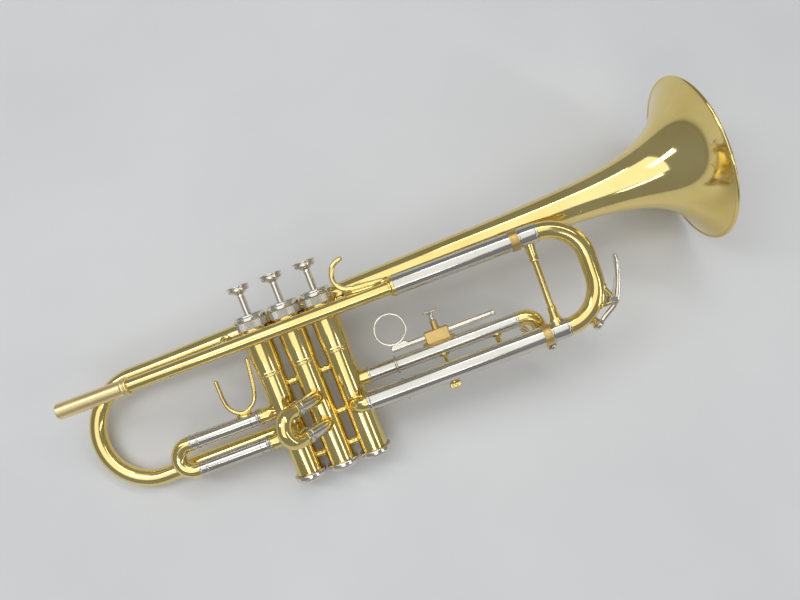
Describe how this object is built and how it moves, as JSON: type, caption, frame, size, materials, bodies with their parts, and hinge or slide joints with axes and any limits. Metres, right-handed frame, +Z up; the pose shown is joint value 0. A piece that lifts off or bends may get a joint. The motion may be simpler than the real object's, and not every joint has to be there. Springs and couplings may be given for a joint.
{
  "type": "trumpet",
  "caption": "Piston-valve trumpet lying on its side: flared bell, tuning slide with water key, sprung pistons with finger buttons, pull-out valve slides, thumb hook and finger ring.",
  "frame": {"origin": "centre of the bounding box's bottom: the level the trumpet lies on", "axes": "+X along the length toward the bell, +Y across the lying trumpet toward the finger buttons, +Z up from the surface it lies on"},
  "size_m": [0.488, 0.1832, 0.1225],
  "materials": {
    "lacquered_brass": "polished brass under clear lacquer",
    "satin_brass": "satin brass",
    "nickel": "polished nickel silver",
    "piston_metal": "lapped nickel alloy",
    "spring_steel": "bright drawn wire",
    "guide_plastic": "matt white moulding",
    "cork": "matt cork"
  },
  "bodies": {
    "horn": {"mouthpiece_receiver": "satin_brass", "leadpipe": "lacquered_brass", "leadpipe_ferrule": "lacquered_brass", "upper_slide_tube": "nickel", "lower_slide_tube": "nickel", "slide_end_bands": "satin_brass", "valve_casing_1": "lacquered_brass", "valve_casing_2": "lacquered_brass", "valve_casing_3": "lacquered_brass", "lower_elbow": "lacquered_brass", "top_caps": "nickel", "bottom_caps": "nickel", "valve_guides": "guide_plastic", "casing_braces": "lacquered_brass", "bell_flare": "lacquered_brass", "bell_bow": "lacquered_brass", "bell_braces": "lacquered_brass", "pinky_hook": "lacquered_brass", "first_slide_inner_tubes": "nickel", "first_slide_stops": "nickel", "second_slide_outer_tubes": "nickel", "third_slide_inner_tubes": "nickel", "third_slide_sleeves": "nickel", "valve_spring_1": "spring_steel", "valve_spring_2": "spring_steel", "valve_spring_3": "spring_steel"},
    "valve_1": {"piston_1": "piston_metal", "stem_1": "nickel", "button_1": "nickel"},
    "valve_2": {"piston_2": "piston_metal", "stem_2": "nickel", "button_2": "nickel"},
    "valve_3": {"piston_3": "piston_metal", "stem_3": "nickel", "button_3": "nickel"},
    "tuning_slide": {"tuning_slide_legs": "nickel", "tuning_slide_ferrules": "nickel", "tuning_slide_bow": "lacquered_brass", "tuning_slide_brace": "lacquered_brass", "water_key_nipple": "lacquered_brass", "water_key_saddle": "lacquered_brass", "water_key_screw": "nickel"},
    "water_key": {"water_key_lever": "nickel", "water_key_cork": "cork"},
    "first_slide": {"first_slide_outer_tubes": "nickel", "first_slide_bow": "lacquered_brass", "thumb_hook": "lacquered_brass"},
    "second_slide": {"second_slide_legs": "nickel", "second_slide_bow": "lacquered_brass"},
    "third_slide": {"third_slide_outer_tubes": "nickel", "third_slide_bow": "lacquered_brass", "third_slide_braces": "lacquered_brass", "third_slide_nut": "lacquered_brass", "rod_holder": "satin_brass", "third_key_saddle": "lacquered_brass", "third_key_screw": "nickel"},
    "finger_ring": {"finger_ring": "nickel"},
    "thumbscrew": {"thumbscrew": "nickel"},
    "third_key": {"third_key_lever": "nickel", "third_key_cork": "cork"}
  },
  "joints": [
    {"name": "valve_1_press", "type": "slide", "parent": "horn", "child": "valve_1", "axis": [0.0295, -0.9421, -0.3342], "range_m": [0, 0.015], "stiffness_N_per_m": 120, "springref_m": -0.016, "deforming": ["valve_spring_1"]},
    {"name": "valve_2_press", "type": "slide", "parent": "horn", "child": "valve_2", "axis": [0.0295, -0.9421, -0.3342], "range_m": [0, 0.015], "stiffness_N_per_m": 120, "springref_m": -0.016, "deforming": ["valve_spring_2"]},
    {"name": "valve_3_press", "type": "slide", "parent": "horn", "child": "valve_3", "axis": [0.0295, -0.9421, -0.3342], "range_m": [0, 0.015], "stiffness_N_per_m": 120, "springref_m": -0.016, "deforming": ["valve_spring_3"]},
    {"name": "tuning_slide_pull", "type": "slide", "parent": "horn", "child": "tuning_slide", "axis": [0.9961, 0, 0.0879], "range_m": [0, 0.05]},
    {"name": "water_key_press", "type": "hinge", "parent": "tuning_slide", "child": "water_key", "pos_m": [0.14046, -0.048, 0.06371], "axis": [-0.0828, -0.3355, 0.9384], "range_deg": [0, 18], "stiffness_Nm_per_rad": 0.05, "springref_deg": -28.65},
    {"name": "first_slide_pull", "type": "slide", "parent": "horn", "child": "first_slide", "axis": [-0.9961, 0, -0.0879], "range_m": [0, 0.02]},
    {"name": "second_slide_pull", "type": "slide", "parent": "horn", "child": "second_slide", "axis": [-0.7037, -0.257, 0.6624], "range_m": [0, 0.01]},
    {"name": "third_slide_pull", "type": "slide", "parent": "horn", "child": "third_slide", "axis": [0.9961, 0, 0.0879], "range_m": [0, 0.02]},
    {"name": "finger_ring_shift", "type": "slide", "parent": "third_slide", "child": "finger_ring", "axis": [0.9961, 0, 0.0879], "range_m": [-0.015, 0.008]},
    {"name": "thumbscrew_turn", "type": "hinge", "parent": "third_slide", "child": "thumbscrew", "pos_m": [0.02172, -0.01724, 0.04612], "axis": [-0.0295, 0.9421, 0.3342], "continuous": true},
    {"name": "third_key_press", "type": "hinge", "parent": "third_slide", "child": "third_key", "pos_m": [0.09503, -0.05581, 0.03005], "axis": [0.7441, 0.6055, 0.2821], "range_deg": [0, 16], "stiffness_Nm_per_rad": 0.03, "springref_deg": -28.65}
  ]
}
